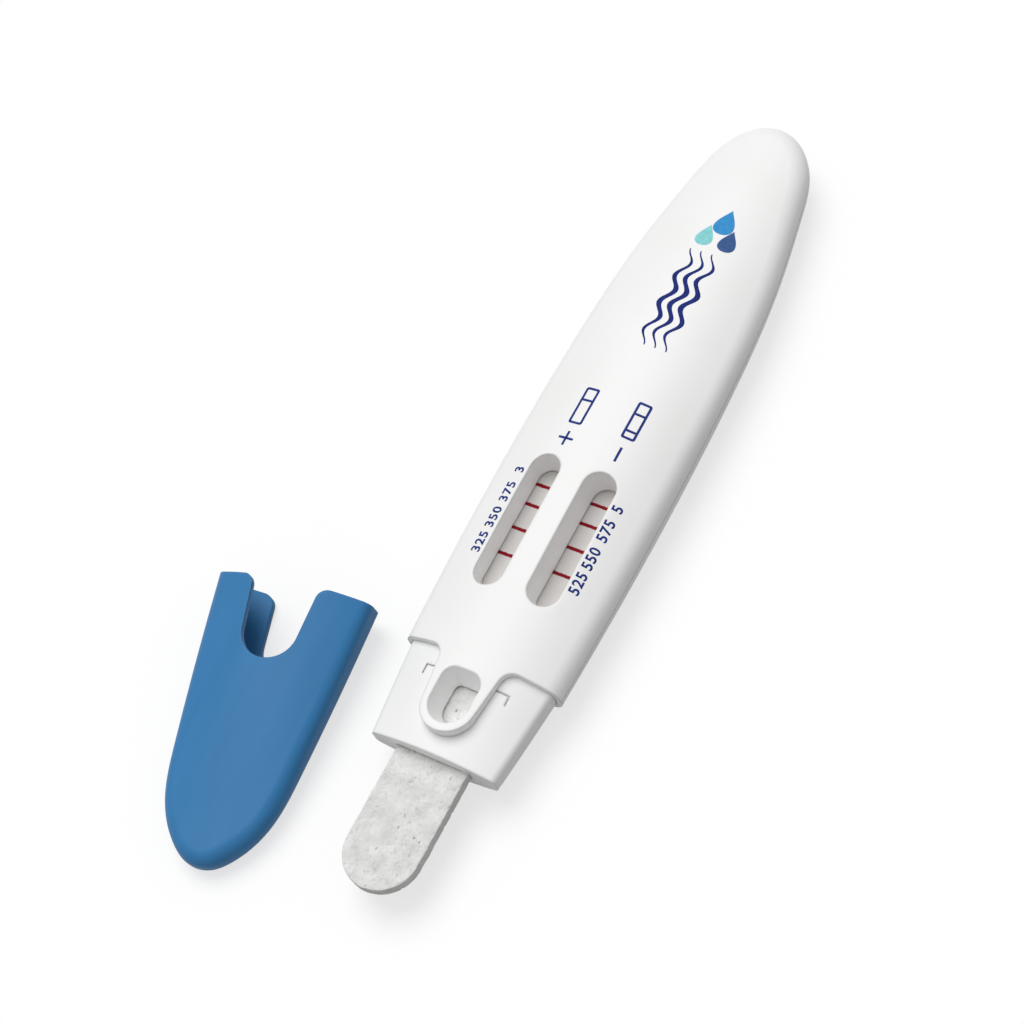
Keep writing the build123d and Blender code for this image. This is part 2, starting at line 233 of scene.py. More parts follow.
def pressed_cellulose():
    made, tree, shader, place = new_material("pressed_cellulose")
    drawn = add(tree, "ShaderNodeMapping", {"Vector": place, "Scale": BOARD_DRAWN}).outputs["Vector"]
    shade_fleck_noise = add(tree, "ShaderNodeTexNoise", {"Vector": drawn, "Scale": per_mm(PAINTED_SHADE_FLECK_MM), "Detail": 4.0,
                                             "Roughness": 0.65})
    felt = add(tree, "ShaderNodeTexNoise", {"Vector": drawn, "Scale": per_mm(FELT_MM), "Detail": 5.0,
                                            "Roughness": 0.7})
    cloud = add(tree, "ShaderNodeTexNoise", {"Vector": place, "Scale": per_mm(CLOUD_MM), "Detail": 2.0})
    mixed = add(tree, "ShaderNodeMath", {0: cloud.outputs["Fac"], 1: felt.outputs["Fac"]}, operation="ADD")
    tone = add(tree, "ShaderNodeMath", {0: mixed.outputs[0], 1: 0.5}, operation="MULTIPLY")
    board = add(tree, "ShaderNodeValToRGB", {"Fac": tone.outputs[0]},
                stops=[(0.36, "#D3D3D1"), (0.5, "#E3E3E1"), (0.64, "#F0F0EE")])
    # Darker flecks multiplied into the board: painted shade, not a colour of the cellulose.
    painted_shade_flecks = add(tree, "ShaderNodeValToRGB", {"Fac": shade_fleck_noise.outputs["Fac"]},
                 stops=[(0.25, "#8F8F8E"), (0.36, "#FFFFFF")])
    colour = add(tree, "ShaderNodeMix",
                 {"Factor": 1.0, "A": board.outputs["Color"], "B": painted_shade_flecks.outputs["Color"]},
                 data_type="RGBA", blend_type="MULTIPLY")
    relief = add(tree, "ShaderNodeBump", {"Distance": FELT_DEPTH_MM * MM, "Height": felt.outputs["Fac"]})
    feed(tree, shader, {"Base Color": colour.outputs["Result"], "Roughness": 0.92,
                        "Normal": relief.outputs["Normal"]})
    return made


pad_board = pressed_cellulose()
print("made", pad_board.name, "with felt of", FELT_MM, "mm and flecks of", PAINTED_SHADE_FLECK_MM, "mm")

# %% [markdown]
# ## The layers of a test strip
# Under each window lies a strip of five layers. A white PVC card, rolled smooth and even,
# carries them all. The conjugate pad is glass fibre, tinted pink by the dried reagent, and the
# sample and wick pads are cotton blotting paper, soft and quite without gloss. Their fibres
# are 0.01 to 0.03 mm wide, so the noise that stands for them is drawn ten times coarser or
# more. The three differ only in the width of the fibre, the tint and the depth of the tooth,
# so one function makes them all.

# %% Card, fibre and paper
def fibrous(name, fibre_mm, tints, depth_mm, stretch=1.0):
    """Matt fibrous sheet: its tint follows a felted noise, which also gives the tooth."""
    made, tree, shader, place = new_material(name)
    laid = add(tree, "ShaderNodeMapping", {"Vector": place, "Scale": (1.0, stretch, 1.0)}).outputs["Vector"]
    felt = add(tree, "ShaderNodeTexNoise", {"Vector": laid, "Scale": per_mm(fibre_mm), "Detail": 4.0,
                                            "Roughness": 0.65})
    colour = add(tree, "ShaderNodeValToRGB", {"Fac": felt.outputs["Fac"]},
                 stops=[(0.35, tints[0]), (0.65, tints[1])])
    relief = add(tree, "ShaderNodeBump", {"Distance": depth_mm * MM, "Height": felt.outputs["Fac"]})
    feed(tree, shader, {"Base Color": colour.outputs["Color"], "Roughness": 0.9,
                        "Normal": relief.outputs["Normal"]})
    return made


card_sheet = fibrous("white_pvc_card", fibre_mm=0.9, tints=("#E9E9E6", "#F0F0ED"), depth_mm=0.004)
glass_mat = fibrous("glass_fibre_mat", fibre_mm=0.22, tints=("#C9A0A8", "#DDBCC1"), depth_mm=0.03,
                    stretch=0.5)
blotting_paper = fibrous("cotton_blotting_paper", fibre_mm=0.35, tints=("#DAD8D2", "#EBE9E4"),
                         depth_mm=0.04)
print("made", card_sheet.name, glass_mat.name, blotting_paper.name)

# %% [markdown]
# ## Nitrocellulose with its test lines
# The membrane is cast nitrocellulose and quite matt. Its tint is painted a little grey: painted
# shade of the window's walls, over the membrane's own white. The test lines are sprayed on it as
# thin stripes that show crimson. The membrane's pores are about 0.01 mm wide, too fine to show,
# and are drawn at 0.16 mm. A line isn't a sharp bar: the liquid creeps along the pores, so its
# edges wander by a few hundredths of a millimetre. Each line could be a thin piece of its own,
# but dye in a film has no thickness. So the lines are drawn in the material, from the distance
# along the pod, with a fine noise that shifts the place where it is read.

# %% Nitrocellulose
LINE_PLACES_MM = (19.25, 24.1, 28.7, 32.5)
LINE_WIDTH_MM = 0.60
LINE_BLEED_MM = 0.11
CREEP_MM = 0.5
PORE_MM = 0.16
PORE_DEPTH_MM = 0.008


def nitrocellulose():
    made, tree, shader, place = new_material("cast_nitrocellulose")
    pores = add(tree, "ShaderNodeTexNoise", {"Vector": place, "Scale": per_mm(PORE_MM), "Detail": 3.0})
    creep = add(tree, "ShaderNodeTexNoise", {"Vector": place, "Scale": per_mm(CREEP_MM), "Detail": 3.0})
    along = add(tree, "ShaderNodeSeparateXYZ", {"Vector": place}).outputs["Y"]
    shift = add(tree, "ShaderNodeMapRange", {"Value": creep.outputs["Fac"], "To Min": -LINE_BLEED_MM * MM,
                                             "To Max": LINE_BLEED_MM * MM})
    read_at = add(tree, "ShaderNodeMath", {0: along, 1: shift.outputs["Result"]}, operation="ADD").outputs[0]
    stained = 0.0
    for line_mm in LINE_PLACES_MM:
        off = add(tree, "ShaderNodeMath", {0: read_at, 1: on_pod(0, line_mm).y}, operation="SUBTRACT")
        away = add(tree, "ShaderNodeMath", {0: off.outputs[0]}, operation="ABSOLUTE")
        line = add(tree, "ShaderNodeMapRange", {"Value": away.outputs[0], "To Min": 1.0, "To Max": 0.0,
                                                "From Min": (LINE_WIDTH_MM - LINE_BLEED_MM) / 2 * MM,
                                                "From Max": (LINE_WIDTH_MM + LINE_BLEED_MM) / 2 * MM})
        darkest = add(tree, "ShaderNodeMath", {0: line.outputs["Result"], 1: stained}, operation="MAXIMUM")
        stained = darkest.outputs[0]
    # The sheet's grey tint is painted shade from the window's walls; the crimson stain is the dye.
    sheet = add(tree, "ShaderNodeValToRGB", {"Fac": pores.outputs["Fac"]},
                stops=[(0.3, "#D2CECB"), (0.7, "#DAD7D5")])
    stain = add(tree, "ShaderNodeValToRGB", {"Fac": pores.outputs["Fac"]},
                stops=[(0.3, "#820618"), (0.7, "#920A20")])
    colour = add(tree, "ShaderNodeMix", {"Factor": stained, "A": sheet.outputs["Color"],
                                         "B": stain.outputs["Color"]}, data_type="RGBA")
    relief = add(tree, "ShaderNodeBump", {"Distance": PORE_DEPTH_MM * MM, "Height": pores.outputs["Fac"]})
    feed(tree, shader, {"Base Color": colour.outputs["Result"], "Roughness": 0.8,
                        "Specular IOR Level": 0.2, "Normal": relief.outputs["Normal"]})
    return made


membrane_film = nitrocellulose()
print("test lines at", LINE_PLACES_MM, "mm from the shoulder")

# %% [markdown]
# ## Dress the moulded and cut pieces
# Shells, neck, cap and most of the strip already have their true shape, so each keeps its mesh
# and only gets its material. A small function empties the material slots and puts the new one
# in, as nothing else about such a piece may change.

# %% Materials on the pieces that keep their mesh
def dress(node, material):
    nodes[node].data.materials.clear()
    nodes[node].data.materials.append(material)


for node in ("upper_housing", "lower_housing", "pad_holder"):
    dress(node, white)
dress("cap", blue)
for side in ("left", "right"):
    dress(side + "_backing_card", card_sheet)
    dress(side + "_conjugate_pad", glass_mat)
    dress(side + "_sample_pad", blotting_paper)
    dress(side + "_wick_pad", blotting_paper)
print("dressed", len(nodes), "nodes less the pad and the membranes, which get meshes of their own")

# %% [markdown]
# ## Geometry Nodes, with named sizes
# What repeats, or has to follow the crown, is grown by Geometry Nodes. Each tree has its sizes
# as named inputs. A modifier wants a value under the socket's identifier, not its name, so one
# function looks the identifiers up, sets them before the piece is first evaluated, turns the
# result into a plain mesh and takes the modifier off again.

# %% Tree and growth helpers
def geometry_tree(name, sizes):
    """A tree with one geometry input and the named number, object or material inputs."""
    tree = bpy.data.node_groups.new(name, "GeometryNodeTree")
    tree.interface.new_socket("Geometry", in_out="INPUT", socket_type="NodeSocketGeometry")
    for label, kind in sizes.items():
        tree.interface.new_socket(label, in_out="INPUT", socket_type="NodeSocket" + kind)
    tree.interface.new_socket("Geometry", in_out="OUTPUT", socket_type="NodeSocketGeometry")
    return tree, add(tree, "NodeGroupInput").outputs


def close_tree(tree, geometry, material):
    """Ends a tree in real geometry with its material on it."""
    real = add(tree, "GeometryNodeRealizeInstances", {"Geometry": geometry})
    painted = add(tree, "GeometryNodeSetMaterial", {"Geometry": real.outputs["Geometry"],
                                                    "Material": material})
    add(tree, "NodeGroupOutput", {"Geometry": painted.outputs["Geometry"]})


def new_piece(name, mesh=None):
    piece = bpy.data.objects.new(name, mesh or bpy.data.meshes.new(name))
    bpy.context.scene.collection.objects.link(piece)
    return piece


def plain_mesh(piece):
    """A new mesh of a piece as it stands, with its modifiers or its font applied."""
    return bpy.data.meshes.new_from_object(piece.evaluated_get(bpy.context.evaluated_depsgraph_get()))


def grow(piece, tree, values):
    """Runs a tree on a piece with its inputs set, and leaves a plain mesh behind."""
    sockets = {i.name: i.identifier for i in tree.interface.items_tree if i.in_out == "INPUT"}
    modifier = piece.modifiers.new(tree.name, "NODES")
    modifier.node_group = tree
    for label, value in values.items():
        modifier[sockets[label]] = value
    mesh = plain_mesh(piece)
    piece.modifiers.remove(modifier)
    piece.data = mesh


def flat_drawing(name, tree, values, x_mm, y_mm):
    """The flat mesh that a tree draws about the origin, moved to its place on the pod."""
    piece = new_piece(name)
    grow(piece, tree, values)
    mesh = piece.data
    bpy.data.objects.remove(piece)
    mesh.transform(Matrix.Translation(on_pod(x_mm, y_mm)))
    return mesh


print("trees take named inputs, and every piece ends as a plain mesh")

# %% [markdown]
# ## The membranes under the windows
# A reading window shows the membrane from wall to wall, so it has to run on under the foot of
# both walls. It is cut 5 mm wide here, and 0.08 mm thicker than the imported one, so that the
# guides beside the strip stay under it. A box would do for the shape, but its face would be
# too flat for a film that was laminated by rollers. So it is a closed sheet, with a grid fine
# enough for a slight wave.

# %% Membrane sheets
SHEET_WIDTH = 5.0 * MM
SHEET_LIFT = 0.08 * MM
SHEET_COLUMNS = 12
SHEET_ROWS = 70
WAVE_HEIGHT = 0.012 * MM
WAVE_LENGTH = 3 * MM


def closed_sheet(name, low, high, columns, rows):
    """Closed sheet between two corners, with a faint wave on its upper face."""
    places = [Vector((x, y, 0)) for y in np.linspace(low.y, high.y, rows + 1)
              for x in np.linspace(low.x, high.x, columns + 1)]
    points = [(at.x, at.y, low.z) for at in places]
    points += [(at.x, at.y, high.z + WAVE_HEIGHT * noise.noise(at / WAVE_LENGTH)) for at in places]

    def number(column, row, upper):
        return upper * len(places) + row * (columns + 1) + column

    faces = []
    for row in range(rows):
        for column in range(columns):
            corners = ((column, row), (column + 1, row), (column + 1, row + 1), (column, row + 1))
            faces.append([number(*corner, 1) for corner in corners])
            faces.append([number(*corner, 0) for corner in reversed(corners)])
    rim = [(column, 0) for column in range(columns)] + [(columns, row) for row in range(rows)]
    rim += [(column, rows) for column in range(columns, 0, -1)] + [(0, row) for row in range(rows, 0, -1)]
    for here, after in zip(rim, rim[1:] + rim[:1]):
        faces.append([number(*here, 0), number(*after, 0), number(*after, 1), number(*here, 1)])
    mesh = bpy.data.meshes.new(name)
    mesh.from_pydata(points, [], faces)
    return new_piece(name, mesh)


for side in ("left", "right"):
    low, high = (Vector(corner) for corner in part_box(side + "_membrane"))
    middle = (low.x + high.x) / 2
    low.x, high.x = middle - SHEET_WIDTH / 2, middle + SHEET_WIDTH / 2
    high.z += SHEET_LIFT
    sheet = closed_sheet(side + "_membrane_sheet", low, high, SHEET_COLUMNS, SHEET_ROWS)
    sheet.data.materials.append(membrane_film)
    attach(sheet, "root")
    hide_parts(side + "_membrane")
    print(sheet.name, "is", round((high.y - low.y) / MM, 1), "mm long")

# %% [markdown]
# ## The collection pad
# Bump alone would leave its outline too clean, so the relief is cut in the mesh. A copy of the
# packed pad is merged, rebuilt in even squares, and each point is pushed inwards along its
# normal, never outwards, so the pad still fits the slot that grips it. The copy is worked in
# millimetres, as squares this small are hard to remesh in metres.

# %% Pad relief
TOUCHING = 0.001 * MM
PAD_SQUARE_MM = 0.16
LUMP_MM = 2.2
LUMP_DEPTH_MM = 0.10
TOOTH_MM = 0.55
TOOTH_DEPTH_MM = 0.06
TOOTH_FALL = 1.0
TOOTH_STEP = 2.0
TOOTH_OCTAVES = 3
PIT_MM = 0.62
PIT_DEPTH_MM = 0.16
PIT_SHARE = 0.34
PIT_SPREAD = 0.25
PIT_SHIFT = Vector((7.3, 1.9, 4.1))


def even_squares(node, name):
    """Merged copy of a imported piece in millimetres, remeshed in even squares."""
    piece = new_piece(name, nodes[node].data.copy())
    shape = bmesh.new()
    shape.from_mesh(piece.data)
    bmesh.ops.remove_doubles(shape, verts=shape.verts, dist=TOUCHING)
    bmesh.ops.scale(shape, vec=(1 / MM, 1 / MM, 1 / MM), verts=shape.verts)
    shape.to_mesh(piece.data)
    shape.free()
    remesh = piece.modifiers.new("squares", "REMESH")
    remesh.mode = "VOXEL"
    remesh.voxel_size = PAD_SQUARE_MM
    mesh = plain_mesh(piece)
    piece.modifiers.clear()
    piece.data = mesh
    return piece


def inward_mm(place):
    """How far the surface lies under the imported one, at a place in mm."""
    lump = 0.5 + 0.5 * noise.noise(place / LUMP_MM)
    tooth = 0.5 + 0.5 * noise.fractal(place / TOOTH_MM, TOOTH_FALL, TOOTH_STEP, TOOTH_OCTAVES)
    tooth = min(max(tooth, 0.0), 1.0)
    pit = max(0.0, noise.noise(place / PIT_MM + PIT_SHIFT) - PIT_SHARE)
    pit = min(pit / PIT_SPREAD, 1.0)
    return LUMP_DEPTH_MM * lump + TOOTH_DEPTH_MM * tooth + PIT_DEPTH_MM * pit


pad = even_squares("collection_pad", "fibre_pad")
normals = [vertex.normal.copy() for vertex in pad.data.vertices]
for vertex, normal in zip(pad.data.vertices, normals):
    vertex.co = (vertex.co - normal * inward_mm(vertex.co)) * MM
print("pad squares", len(pad.data.polygons))

# %% [markdown]
# ## Lint on the pad
# A cut pad sheds short cellulose fibres that lie on its face. There are hundreds, all alike,
# so Geometry Nodes scatter them: points with a fixed seed, and a thin bent tube on each, laid
# nearly flat and turned at random. The tubes have three sides and three spans, since each is
# only a few hundredths of a millimetre thick. They lie only where the face looks up, and each
# has between 0.4 and 1 of the full size.

# %% Lint tree
LINT = {"Per square mm": 0.55, "Length": 1.1 * MM, "Radius": 0.035 * MM, "Seed": 11}
SQUARE_MM_IN_A_SQUARE_METRE = 1e6
LOOKS_UP = 0.7
FIBRE_SIDES = 3
FIBRE_SPANS = 3
FIBRE_BOW = 0.25
FIBRE_TILT = 0.12
SHORTEST_FIBRE = 0.4


def lint_tree(material):
    tree, given = geometry_tree("pad_lint", {"Per square mm": "Float", "Length": "Float",
                                             "Radius": "Float", "Seed": "Int"})
    per_metre = add(tree, "ShaderNodeMath", {0: given["Per square mm"], 1: SQUARE_MM_IN_A_SQUARE_METRE},
                    operation="MULTIPLY")
    up = add(tree, "ShaderNodeSeparateXYZ", {0: add(tree, "GeometryNodeInputNormal").outputs["Normal"]})
    top = add(tree, "FunctionNodeCompare", {0: up.outputs["Z"], 1: LOOKS_UP}, operation="GREATER_THAN")
    spread = add(tree, "GeometryNodeDistributePointsOnFaces",
                 {"Mesh": given["Geometry"], "Selection": top.outputs["Result"],
                  "Density": per_metre.outputs[0], "Seed": given["Seed"]})
    half = add(tree, "ShaderNodeMath", {0: given["Length"], 1: 0.5}, operation="MULTIPLY").outputs[0]
    bow = add(tree, "ShaderNodeMath", {0: given["Length"], 1: FIBRE_BOW}, operation="MULTIPLY").outputs[0]
    back = add(tree, "ShaderNodeMath", {0: half, 1: -1.0}, operation="MULTIPLY").outputs[0]
    bent = add(tree, "GeometryNodeCurveQuadraticBezier",
               {"Resolution": FIBRE_SPANS, "Start": add(tree, "ShaderNodeCombineXYZ", {"X": back}).outputs[0],
                "Middle": add(tree, "ShaderNodeCombineXYZ", {"Y": bow}).outputs[0],
                "End": add(tree, "ShaderNodeCombineXYZ", {"X": half}).outputs[0]})
    ring = add(tree, "GeometryNodeCurvePrimitiveCircle", {"Resolution": FIBRE_SIDES,
                                                          "Radius": given["Radius"]})
    fibre = add(tree, "GeometryNodeCurveToMesh", {"Curve": bent.outputs["Curve"],
                                                  "Profile Curve": ring.outputs["Curve"], "Fill Caps": True})
    turn = add(tree, "FunctionNodeRandomValue", {"Min": (-FIBRE_TILT, -FIBRE_TILT, 0.0),
                                                 "Max": (FIBRE_TILT, FIBRE_TILT, math.tau),
                                                 "Seed": given["Seed"]}, data_type="FLOAT_VECTOR")
    size = add(tree, "FunctionNodeRandomValue", {2: SHORTEST_FIBRE, 3: 1.0, "Seed": given["Seed"]},
               data_type="FLOAT")
    laid = add(tree, "GeometryNodeInstanceOnPoints",
               {"Points": spread.outputs["Points"], "Instance": fibre.outputs["Mesh"],
                "Rotation": turn.outputs["Value"], "Scale": size.outputs[1]})
    both = add(tree, "GeometryNodeJoinGeometry", {"Geometry": given["Geometry"]})
    feed(tree, both, {"Geometry": laid.outputs["Instances"]})
    close_tree(tree, both.outputs["Geometry"], material)
    return tree


grow(pad, lint_tree(pad_board), LINT)
for face in pad.data.polygons:
    face.use_smooth = True
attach(pad, "root")
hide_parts("collection_pad")
print("pad with lint", len(pad.data.polygons), "faces")

# %% [markdown]
# ## Pad-printing ink
# The signs are pad-printed: a silicone pad presses a film of ink on the finished shell. The ink
# is loaded with pigment and dries nearly matt, so its blue stays dense with hardly any
# reflection, and its density varies slightly over a stroke. It could be painted on the shell's
# material, but a film of its own has a sharp edge from near and far. Each colour is a separate
# ink, as on the press.

# %% Inks
INK_MOTTLE_MM = 0.6
INK_MOTTLE_DEPTH_MM = 0.002


def pad_printing_ink(name, thin, full):
    """Nearly matt ink between two tints, where the film is thin and where it is full."""
    made, tree, shader, place = new_material(name)
    mottle = add(tree, "ShaderNodeTexNoise", {"Vector": place, "Scale": per_mm(INK_MOTTLE_MM), "Detail": 3.0})
    colour = add(tree, "ShaderNodeValToRGB", {"Fac": mottle.outputs["Fac"]},
                 stops=[(0.35, thin), (0.65, full)])
    relief = add(tree, "ShaderNodeBump", {"Distance": INK_MOTTLE_DEPTH_MM * MM,
                                          "Height": mottle.outputs["Fac"]})
    feed(tree, shader, {"Base Color": colour.outputs["Color"], "Roughness": 0.5, "IOR": 1.5,
                        "Specular IOR Level": 0.12, "Normal": relief.outputs["Normal"]})
    return made


navy = pad_printing_ink("navy_pad_printing_ink", "#172B76", "#1F3584")
deep_blue = pad_printing_ink("deep_blue_pad_printing_ink", "#011C6B", "#05267A")
sky = pad_printing_ink("sky_pad_printing_ink", "#2F8CCB", "#3B98D6")
aqua = pad_printing_ink("aqua_pad_printing_ink", "#82CFD3", "#92DBDE")
slate = pad_printing_ink("slate_pad_printing_ink", "#33548A", "#3E6197")
print("inks", navy.name, deep_blue.name, sky.name, aqua.name, slate.name)

# %% [markdown]
# ## A film that follows the crown
# A printed film lies on the crown and bends with it. So each sign is drawn flat, and one tree
# lays it down. A Shrinkwrap modifier could do that part too, but the film also needs a body.
# The tree divides the drawing, drops a ray from each point on to the shell, and gives the film
# an underside and sides, so that it is a closed skin of ink 0.02 mm proud of the plastic, with
# its foot 0.03 mm under it.

# %% The drape tree
INK_PROUD = 0.02 * MM
INK_SUNK = 0.03 * MM
RAY_CLEARANCE = 5 * MM


def drape_tree():
    tree, given = geometry_tree("drape", {"Shell": "Object", "Ink": "Material", "Proud": "Float",
                                          "Sunk": "Float", "Divide": "Int", "Above": "Float"})
    fine = add(tree, "GeometryNodeSubdivideMesh", {"Mesh": given["Geometry"], "Level": given["Divide"]})
    shell = add(tree, "GeometryNodeObjectInfo", {"Object": given["Shell"]}, transform_space="ORIGINAL")
    here = add(tree, "ShaderNodeSeparateXYZ", {0: add(tree, "GeometryNodeInputPosition").outputs["Position"]})
    start = add(tree, "ShaderNodeCombineXYZ", {"X": here.outputs["X"], "Y": here.outputs["Y"],
                                               "Z": given["Above"]})
    ray = add(tree, "GeometryNodeRaycast", {"Target Geometry": shell.outputs["Geometry"],
                                            "Source Position": start.outputs[0], "Ray Direction": (0, 0, -1),
                                            "Ray Length": given["Above"]})
    down = add(tree, "ShaderNodeMath", {0: given["Sunk"], 1: -1.0}, operation="MULTIPLY")
    sink = add(tree, "ShaderNodeCombineXYZ", {"Z": down.outputs[0]})
    under = add(tree, "GeometryNodeSetPosition", {"Geometry": fine.outputs["Mesh"],
                                                  "Position": ray.outputs["Hit Position"],
                                                  "Offset": sink.outputs[0]})
    thick = add(tree, "ShaderNodeMath", {0: given["Sunk"], 1: given["Proud"]}, operation="ADD")
    film = add(tree, "GeometryNodeExtrudeMesh", {"Mesh": under.outputs["Geometry"], "Offset": (0, 0, 1),
                                                 "Offset Scale": thick.outputs[0], "Individual": False})
    base = add(tree, "GeometryNodeFlipFaces", {"Mesh": under.outputs["Geometry"]})
    both = add(tree, "GeometryNodeJoinGeometry", {"Geometry": film.outputs["Mesh"]})
    feed(tree, both, {"Geometry": base.outputs["Mesh"]})
    shut = add(tree, "GeometryNodeMergeByDistance", {"Geometry": both.outputs["Geometry"],
                                                     "Distance": TOUCHING})
    close_tree(tree, shut.outputs["Geometry"], given["Ink"])
    return tree


drape = drape_tree()


def printed(name, flat, ink, divide):
    """Lays a flat drawing on the crown as a closed film of ink, after dividing its faces."""
    piece = new_piece(name, flat)
    grow(piece, drape, {"Shell": nodes["upper_housing"], "Ink": ink, "Proud": INK_PROUD, "Sunk": INK_SUNK,
                        "Divide": divide, "Above": top_z + RAY_CLEARANCE})
    shape = bmesh.new()
    shape.from_mesh(piece.data)
    bmesh.ops.recalc_face_normals(shape, faces=shape.faces)
    shape.to_mesh(piece.data)
    shape.free()
    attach(piece, "root")
    print(name, len(piece.data.polygons), "faces")


print("the film stands", round(INK_PROUD / MM, 3), "mm proud of the shell")

# %% [markdown]
# ## Numbers beside the lines
# Each line of a strip has a plain number beside it, written along the pod. Blender's own font
# gives the outlines: the text becomes a mesh first, then is scaled to its printed height,
# turned a quarter and moved to its line, and only then laid on the crown.

# %% Number columns
FIGURE_HEIGHT = 1.8 * MM
FIGURE_WEIGHT = 0.022
FIGURE_SPACING = 1.12
FIGURE_SMOOTHNESS = 4
# Each column has its side, its distance from the middle, and its figures with their places.
COLUMNS = (("left", -9.45, ((18.4, "325"), (23.1, "350"), (28.0, "375"), (32.3, "3"))),
           ("right", 9.25, ((17.5, "525"), (22.1, "550"), (27.3, "575"), (31.4, "5"))))


def flat_text(text, x_mm, y_mm, height):
    """Text as a flat mesh that reads along the pod, its middle on the given place."""
    curve = bpy.data.curves.new("text", "FONT")
    curve.body = text
    curve.align_x, curve.align_y = "CENTER", "CENTER"
    curve.offset = FIGURE_WEIGHT
    curve.space_character = FIGURE_SPACING
    curve.resolution_u = FIGURE_SMOOTHNESS
    writer = new_piece("text", curve)
    mesh = plain_mesh(writer)
    bpy.data.objects.remove(writer)
    heights = [vertex.co.y for vertex in mesh.vertices]
    low, high = min(heights), max(heights)
    centred = Matrix.Translation((0, -(high + low) / 2, 0))
    sized = Matrix.Scale(height / (high - low), 4)
    place = Matrix.Translation(on_pod(x_mm, y_mm)) @ Matrix.Rotation(math.radians(90), 4, "Z")
    mesh.transform(place @ sized @ centred)
    return mesh


for side, x_mm, figures in COLUMNS:
    for y_mm, text in figures:
        printed(side + "_number_" + text, flat_text(text, x_mm, y_mm, FIGURE_HEIGHT), navy, 1)

# %% [markdown]
# ## Result boxes and their signs
# Past the windows two small boxes show how a result is read: a box with one bar, and a box with
# two, each after its sign. A box is a rounded frame with bars across it. One function builds
# the tree for either: the frame is the area between two rounded rectangles, and each bar is a
# thin grid. The plus and the minus are bars of the same stroke.

# %% Box tree
STROKE = 0.42 * MM
CORNER_STEPS = 5
OUTER_CORNER = 0.40 * MM
INNER_CORNER = 0.12 * MM
# Each box has its name, its place across and along the pod, its width, its length and the
# places of its bars along the pod.
BOXES = (("left_result_box", -4.22, 46.0, 2.55, 7.1, (47.1,)),
         ("right_result_box", 5.28, 46.4, 2.45, 7.0, (47.6, 44.4)))


def box_tree(bars):
    """Frame of the given width and length about the origin, with bars at their distances."""
    tree, given = geometry_tree("result_box", {"Width": "Float", "Length": "Float", "Stroke": "Float"})
    frames = add(tree, "GeometryNodeJoinGeometry")
    for strokes_less, corner in ((0.0, OUTER_CORNER), (-2.0, INNER_CORNER)):
        sides = [add(tree, "ShaderNodeMath", {0: given["Stroke"], 1: strokes_less, 2: given[size]},
                     operation="MULTIPLY_ADD").outputs[0] for size in ("Width", "Length")]
        outline = add(tree, "GeometryNodeCurvePrimitiveQuadrilateral",
                      {"Width": sides[0], "Height": sides[1]})
        rounded = add(tree, "GeometryNodeFilletCurve", {"Curve": outline.outputs["Curve"],
                                                        "Count": CORNER_STEPS, "Radius": corner}, mode="POLY")
        feed(tree, frames, {"Geometry": rounded.outputs["Curve"]})
    parts = add(tree, "GeometryNodeJoinGeometry")
    filled = add(tree, "GeometryNodeFillCurve", {"Curve": frames.outputs["Geometry"]})
    feed(tree, parts, {"Geometry": filled.outputs["Mesh"]})
    across = add(tree, "ShaderNodeMath", {0: given["Width"], 1: given["Stroke"]}, operation="SUBTRACT")
    for distance in bars:
        bar = add(tree, "GeometryNodeMeshGrid", {"Size X": across.outputs[0], "Size Y": given["Stroke"],
                                                 "Vertices X": 6, "Vertices Y": 2})
        placed = add(tree, "GeometryNodeTransform", {"Geometry": bar.outputs["Mesh"],
                                                     "Translation": (0, distance, 0)})
        feed(tree, parts, {"Geometry": placed.outputs["Geometry"]})
    close_tree(tree, parts.outputs["Geometry"], None)
    return tree


for name, x_mm, y_mm, width, length, bars in BOXES:
    flat = flat_drawing(name + "_flat", box_tree([(bar - y_mm) * MM for bar in bars]),
                        {"Width": width * MM, "Length": length * MM, "Stroke": STROKE}, x_mm, y_mm)
    printed(name, flat, navy, 2)

# %% Signs
SIGN_SPAN = 2.7 * MM
# Each bar has its name, its place across and along the pod, and its size that way.
SIGN_BARS = (("plus_along", -4.3, 39.6, STROKE, SIGN_SPAN),
             ("plus_across", -4.3, 39.6, SIGN_SPAN, STROKE),
             ("minus", 5.2, 39.9, STROKE, SIGN_SPAN))


def rectangle(name, wide, long):
    """Flat rectangle about the origin that faces up."""
    mesh = bpy.data.meshes.new(name)
    mesh.from_pydata([(side_x * wide / 2, side_y * long / 2, 0)
                      for side_x, side_y in ((-1, -1), (1, -1), (1, 1), (-1, 1))], [], [(0, 1, 2, 3)])
    return mesh


for name, x_mm, y_mm, wide, long in SIGN_BARS:
    flat = rectangle("bar", wide, long)
    flat.transform(Matrix.Translation(on_pod(x_mm, y_mm)))
    printed(name, flat, navy, 3)

# %% [markdown]
# ## Ripples and drops
# A ripple is a strip that follows a sine, thick in the middle and thin at its ends, as a brush
# would leave it. One tree makes the strip from a fine grid and repeats it on a line of points.
# The drops come from one formula.

# %% Ripple tree
RIPPLES = {"Length": 20.0 * MM, "Swing": 0.75 * MM, "Waves": 3.5, "Stroke": 1.0 * MM, "Pitch": 2.0 * MM,
           "Count": 3}
RIPPLES_AT_MM = (1.0, 69.8)
RIPPLE_END = 0.2
RIPPLE_COLUMNS = 3
RIPPLE_ROWS = 121


